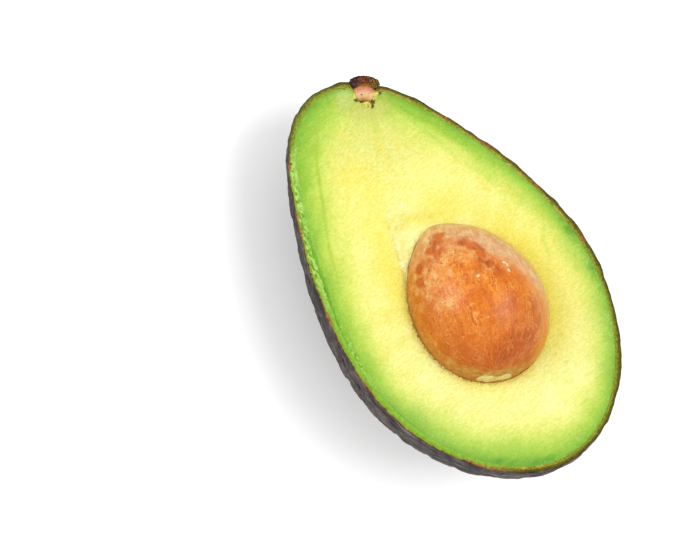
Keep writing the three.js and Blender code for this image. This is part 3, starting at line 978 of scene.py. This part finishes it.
def flesh_material():
    """Moist flesh, green by the skin and yellow round the seed, with a fine grain."""
    n = Nodes("flesh")
    to_rim = n.of("to_rim")
    wander = n.plus(n.spread(n.noise(8, 3), 1.4), n.times(n.of("fibres"), 1.6))
    wander = n.plus(wander, n.spread(n.noise(1.6, 4, None, 0.6), 1.1))
    wander = n.times(wander, n.ramp(n.times(to_rim, 0.2), (0.0, 0.25), (0.7, 1.0)))
    deep = n.times(n.times(n.plus(to_rim, wander), n.of("pace")), 1 / 16)
    colour = n.ramp(
        deep,
        (0.0, 112, 164, 24), (0.02, 130, 182, 40), (0.07, 148, 196, 54),
        (0.14, 168, 208, 64), (0.22, 192, 220, 80), (0.31, 214, 230, 96),
        (0.44, 238, 240, 120), (0.62, 254, 248, 142),
    )
    colour = n.tint(colour, "fan", 0.65, (226, 226, 114))
    soft = n.ramp(n.scaled(n.of("rays"), 0.8), (0.3, 246, 236, 116), (0.7, 255, 250, 150))
    colour = n.mix(n.ramp(n.times(n.of("to_seed"), 1 / 14), (0.1, 0.55), (1.0, 0.0)), colour, soft)
    colour = n.tint(colour, "pale", 0.8, (255, 254, 166))
    # Deeper yellow by the ridge and below the seed, and painted shade and reflected light from the seed on its right
    colour = n.tint(colour, "deep_yellow_and_seed_shade", 0.85, (255, 236, 80))
    lumpy = n.ramp(n.scaled(n.of("rough"), 0.8), (0.25, 254, 240, 126), (0.6, 255, 255, 186))
    colour = n.tint(colour, "torn", 0.85, lumpy)
    line = n.ramp(n.plus(n.of("green_line"), n.spread(n.noise(2, 2), 0.3)), (0.1, 0.85), (0.75, 0.0))
    colour = n.mix(line, colour, (180, 206, 60))
    line = n.ramp(n.scaled(n.noise(2, 3), 0.8, n.times(n.of("right_streak"), 0.4)), (0.35, 0.5), (0.85, 0.0))
    colour = n.mix(line, colour, (196, 218, 70))
    colour = n.tint(colour, "halo", 0.75, (206, 206, 104))
    rays_out = n.ramp(n.scaled(n.of("fibres"), 0.9), (0.5, 0.0), (0.9, 0.5))
    rays_out = n.times(rays_out, n.times(n.of("neck"), n.of("fan")))
    colour = n.mix(rays_out, colour, (240, 238, 146))
    streak = n.ramp(n.plus(n.of("streak"), n.spread(n.noise(1.3, 3), 0.9)), (0.0, 0.5), (0.8, 0.0))
    colour = n.mix(streak, colour, (246, 226, 84))
    colour = n.mix(n.times(n.dots(2.3, 0.22, 6, 0.5, 0.6, 0.35), n.of("deep_yellow_and_seed_shade")), colour, (232, 202, 60))
    fleck = n.spots((
        (9.1, -29.9, 0), (10.1, -32.7, 0), (13.5, -27.0, 0), (-15.8, -17.0, 0), (-16.6, -10.7, 0),
    ), 0.6, 0.8)
    colour = n.mix(n.times(fleck, 0.5), colour, (244, 214, 72))
    wisps = n.ramp(n.threads(n.noise(2.4, 3, None, 0.6)), (0.0, 0.35), (0.06, 0.0))
    crazed = n.times(n.of("crazed"), n.ramp(n.times(to_rim, 0.2), (0.5, 1.0), (1.0, 0.0)))
    colour = n.mix(n.times(wisps, crazed), colour, (220, 240, 150))
    colour = n.mix(n.times(wisps, n.of("deep_yellow_and_seed_shade")), colour, (236, 208, 66))
    bits = n.ramp(
        n.noise(0.6, 3, (1.0, 0.5, 1.0), 0.6), (0.32, 76, 140, 18), (0.44, 144, 198, 60), (0.6, 196, 234, 120),
    )
    colour = n.tint(colour, "fringe", 0.85, bits)
    colour = n.tint(colour, "rim_fold", 0.6, (100, 168, 24))
    deep_green = n.times(n.of("deep_green"), n.ramp(n.noise(1.8, 4, (0.5, 1.0, 1.0)), (0.38, 0.2), (0.56, 0.9)))
    colour = n.mix(deep_green, colour, (88, 160, 24))
    # Painted shade: darker yellow along the fold's shallow valley
    colour = n.tint(colour, "fold", 0.6, (242, 224, 88))
    colour = n.tint(colour, "flap", 0.8, (200, 218, 124))
    flake = n.ramp(n.noise(0.9, 2), (0.35, 214, 196, 70), (0.65, 238, 228, 120))
    colour = n.tint(colour, "flakes", 0.9, flake)
    crumb = n.ramp(n.noise(0.5, 3), (0.4, 66, 44, 24), (0.65, 160, 120, 44))
    colour = n.tint(colour, "crumbs", 0.95, crumb)
    torn_bits = n.times(n.of("lip"), n.ramp(n.crisp(0.7), (0.48, 0.0), (0.56, 0.9)))
    colour = n.mix(torn_bits, colour, (140, 84, 34))
    # Fine light and dark dashes across the flesh; the whiter light ones are partly painted moist glints
    dashes = n.ramp(n.noise(0.8, 4, (0.5, 1.0, 1.0), 0.6), (0.36, [0.96, 0.98, 0.86, 1]), (0.64, [1.02, 1.02, 1.1, 1]))
    colour = n.shaded(colour, dashes)
    patches = n.ramp(n.noise(3.5, 3), (0.3, [0.98, 0.98, 0.88, 1]), (0.7, [1.02, 1.02, 1.08, 1]))
    colour = n.shaded(colour, patches)
    grain = n.crisp(0.4, 3, (0.45, 1.0, 1.0))
    grain = n.ramp(grain, (0.36, [0.88, 0.91, 0.72, 1]), (0.62, [1.07, 1.05, 1.22, 1]))
    colour = n.shaded(colour, grain)
    # Painted highlights: small pale moist glints
    colour = n.mix(n.dots(0.62, 0.2, 3, 0.42, 0.65, 0.3), colour, (255, 253, 190))
    normal = n.bump(n.noise(0.5, 4, (0.5, 1.0, 1.0), 0.6), 0.2, 0.8, n.bump(n.noise(2.2, 3), 0.35, 0.5))
    return n.finish(colour, 0.36, normal, Specular_IOR_Level=0.22)


def seed_material():
    """Orange-brown seed with fibres that run to its base, and a thin papery coat in patches."""
    n = Nodes("seed_coat")
    height = n.of("height")
    round_x, round_y, from_pole = n.of("fibre_x"), n.of("fibre_y"), n.of("from_pole")

    def fibres(fineness, length, detail=2):
        sway = n.spread(n.noise(6, 3), 0.12 * fineness)
        parts = [n.scaled(coord, fineness, sway) for coord in (round_x, round_y)]
        slide = n.spread(n.noise(4, 3), 2.0)
        return n.noise_at(n.joined(*parts, n.scaled(from_pole, length, slide)), detail)

    def ragged(name, tear, low, high, share):
        """An attribute with its edge torn by a noise, from 0 below low to a share above high."""
        return n.ramp(n.plus(n.of(name), n.spread(tear, 0.9)), (low, 0.0), (high, share))

    body = n.ramp(n.noise(5, 4), (0.34, 216, 104, 0), (0.5, 236, 134, 10), (0.66, 242, 150, 46))
    # Darker towards the seed's broad base, partly painted shade
    low = n.ramp(n.scaled(height, 0.5), (0.14, 0.85), (0.44, 0.0))
    body = n.mix(low, body, (200, 88, 0))
    fine = n.ramp(fibres(22, 3, 4), (0.42, 0.0), (0.6, 0.55))
    body = n.mix(fine, body, (206, 94, 4))
    streaks = n.ramp(fibres(7, 3, 5), (0.46, 0.0), (0.58, 0.36))
    body = n.mix(streaks, body, (196, 84, 0))
    # Painted light and shade: the seed lighter on its right side and darker on its left
    body = n.tint(body, "right", 0.6, (255, 160, 40))
    body = n.tint(body, "left", 0.5, (196, 98, 0))
    body = n.mix(ragged("dusky", n.noise(2, 4), 0.3, 1.2, 0.5), body, (172, 74, 0))
    pinkish = n.ramp(n.crisp(2.8), (0.5, 0.0), (0.7, 0.45))
    body = n.mix(pinkish, body, (240, 152, 76))
    veins = n.ramp(n.threads(fibres(7, 2.0)), (0.0, 0.75), (0.035, 0.0))
    veins = n.times(veins, n.ramp(n.noise(4, 2), (0.4, 0.1), (0.6, 1.0)))
    body = n.mix(veins, body, (246, 188, 106))
    mottle = n.ramp(n.crisp(0.5), (0.36, 0.84), (0.6, 1.14))
    body = n.shaded(body, mottle)
    body = n.mix(n.dots(1.5, 0.13, 6, 0.48, 0.58, 0.8), body, (112, 46, 14))
    paper = n.ramp(n.noise(1.6, 4), (0.35, 224, 162, 98), (0.65, 246, 208, 148))
    paper = n.mix(n.ramp(fibres(30, 1.5), (0.45, 0.0), (0.62, 0.6)), paper, (216, 142, 96))
    web_lines = n.ramp(n.threads(n.crisp(1.3)), (0.0, 1.0), (0.12, 0.15))
    haze = n.times(ragged("webs", fibres(7, 5, 4), 0.3, 0.9, 0.85), web_lines)
    thin = n.ramp(n.crisp(2.2), (0.46, 0.0), (0.66, 0.6))
    thin = n.times(thin, n.ramp(n.scaled(height, 0.5), (0.55, 0.0), (0.72, 1.0)))
    colour = n.mix(n.math("MAXIMUM", haze, thin), body, (240, 200, 126))
    colour = n.tint(colour, "point", 0.9, paper)
    colour = n.tint(colour, "coat", 0.9, paper)
    bare = n.ramp(fibres(14, 4, 3), (0.35, 168, 66, 6), (0.62, 216, 104, 18))
    colour = n.mix(ragged("windows", fibres(8, 5, 4), 0.35, 0.85, 0.9), colour, bare)
    flakes = n.spots(((7.7, -5.1, 12.3), (7.3, -7.2, 13.0), (8.0, -6.0, 12.4), (0.1, -4.1, 13.5)), 0.35, 0.5)
    colour = n.mix(n.times(flakes, 0.8), colour, (252, 224, 176))
    brink = n.ramp(n.noise(1.2, 3), (0.35, 184, 130, 44), (0.65, 222, 176, 90))
    # Tan along the seed's left edge, partly a painted rim highlight
    colour = n.tint(colour, "brink", 0.35, brink)
    colour = n.mix(ragged("tan_base", n.noise(1.8, 4), 0.3, 0.9, 0.8), colour, brink)
    colour = n.tint(colour, "lobe", 0.6, (226, 168, 84))
    scar = n.ramp(n.noise(1.4, 3), (0.35, 234, 206, 112), (0.6, 250, 240, 164))
    colour = n.mix(ragged("scar", n.noise(2.5, 3), 0.42, 0.6, 0.95), colour, scar)
    normal = n.bump(n.noise(0.6, 3), 0.06, 0.35, n.bump(fibres(16, 2), 0.06, 0.25))
    return n.finish(colour, 0.36, normal, Specular_IOR_Level=0.32)


def stem_material():
    """Granular brown cork over pinkish wood that turns tan, with dark pits and crumbs lower down."""
    n = Nodes("stem_wood")
    wood = n.plus(n.of("wood"), n.spread(n.noise(0.6, 3), 0.35))
    grains = n.plus(n.cells(0.4), n.spread(n.crisp(0.35), 0.7))
    # Cork granules lighter at their middles, painted highlights, and darker between them, partly painted shade
    bark = n.ramp(grains, (0.0, 204, 120, 50), (0.2, 168, 80, 24), (0.45, 108, 56, 14), (0.75, 46, 24, 14))
    right = n.ramp(n.times(n.of("across"), 0.3), (0.2, 0.0), (0.6, 0.65))
    bark = n.mix(right, bark, n.ramp(grains, (0.1, 176, 160, 60), (0.5, 80, 70, 16)))
    left = n.ramp(n.times(n.of("across"), -0.3), (0.35, 0.0), (0.75, 0.85))
    bark = n.mix(left, bark, n.ramp(grains, (0.1, 112, 76, 76), (0.5, 46, 26, 32)))
    border = n.ramp(n.times(n.math("ABSOLUTE", n.of("across")), 0.3), (0.2, 176, 118, 56), (0.7, 58, 34, 22))
    bark = n.mix(n.ramp(n.plus(wood, 0.7), (0.1, 0.0), (0.6, 0.65)), bark, border)
    inner = n.ramp(
        n.scaled(wood, 0.2, 0.2),
        (0.2, 168, 108, 44), (0.26, 204, 132, 82), (0.34, 218, 140, 104),
        (0.46, 232, 166, 132), (0.56, 238, 202, 150), (0.74, 228, 182, 122),
        (0.86, 190, 132, 66), (0.96, 130, 84, 38),
    )
    colour = n.mix(n.ramp(wood, (0.0, 0.0), (0.25, 1.0)), bark, inner)
    # Painted shade: dark spots for small pits that the mesh does not have
    pits = n.spots(((8.4, 46.0, 0.5), (10.0, 45.2, 0.4)), 0.2, 0.5)
    colour = n.mix(n.times(pits, 0.8), colour, (104, 66, 34))
    mottle = n.ramp(n.noise(0.35, 3), (0.35, 0.85), (0.62, 1.08))
    colour = n.shaded(colour, mottle)
    normal = n.bump(n.noise(0.3, 3), 0.15, 0.7)
    return n.finish(colour, 0.7, normal, Specular_IOR_Level=0.2)


# Stage

def camera_frame():
    """The camera's right, up and backward directions against the cut face."""
    side = np.array((-math.cos(CAMERA_SIDE), -math.sin(CAMERA_SIDE), 0))
    back = math.cos(CAMERA_TILT) * np.array((0, 0, 1)) + math.sin(CAMERA_TILT) * side
    level = np.array((0, 1, 0)) - back * back[1]
    level /= np.linalg.norm(level)
    up = math.cos(CAMERA_ROLL) * level + math.sin(CAMERA_ROLL) * np.cross(level, back)
    return np.cross(up, back), up, back


def add_camera():
    right, up, back = (CUT_AT_REST @ v for v in camera_frame())
    data = bpy.data.cameras.new("camera")
    data.lens = CAMERA_LENS
    data.sensor_width = CAMERA_SENSOR
    camera = bpy.data.objects.new("camera", data)
    turn = Matrix(np.stack((right, up, back), -1).tolist()).to_4x4()
    place = Vector(placed(CAMERA_AIM)) + Vector(back) * CAMERA_DISTANCE * MM
    camera.matrix_world = Matrix.Translation(place) @ turn
    bpy.context.scene.collection.objects.link(camera)
    bpy.context.scene.camera = camera


def add_light(name, toward, power):
    """A soft square light that faces the fruit."""
    right, up, back = (Vector(CUT_AT_REST @ v) for v in camera_frame())
    direction = (right * toward[0] + up * toward[1] + back * toward[2]).normalized()
    data = bpy.data.lights.new(name, "AREA")
    data.size = SOFTBOX_SIZE
    data.energy = power
    light = bpy.data.objects.new(name, data)
    light.location = Vector(placed(np.zeros(3))) + direction * SOFTBOX_DISTANCE
    light.rotation_mode = "QUATERNION"
    light.rotation_quaternion = direction.to_track_quat("Z", "Y")
    bpy.context.scene.collection.objects.link(light)


def add_stage():
    """The pale floor, the even studio surroundings and the two soft lights."""
    bpy.ops.mesh.primitive_plane_add(size=FLOOR_SIZE)
    floor = bpy.context.active_object
    floor.name = "floor"
    n = Nodes("pale_floor")
    n.finish((1, 1, 1, 1), 0.9, n.bump(n.noise(4), 0.01, 0.1))
    floor.data.materials.append(n.material)
    world = bpy.data.worlds.new("studio")
    world.use_nodes = True
    background = world.node_tree.nodes["Background"]
    background.inputs["Color"].default_value = (1, 1, 1, 1)
    background.inputs["Strength"].default_value = SURROUNDINGS
    bpy.context.scene.world = world
    for softbox in SOFTBOXES:
        add_light(*softbox)
    bpy.context.scene.view_settings.view_transform = "Standard"
    bpy.context.scene.view_settings.look = "None"


add_camera()
add_stage()
add_piece("skin_peel", *skin_rows(), skin_material(), "skin", "skin")
add_piece("flesh_cut", *flesh_rows(), flesh_material(), "flesh", "flesh")
add_piece("seed_body", *seed_rows(), seed_material(), "seed", "seed")
add_piece("stem_stub", *stem_rows(), stem_material(), "stem", "stem")
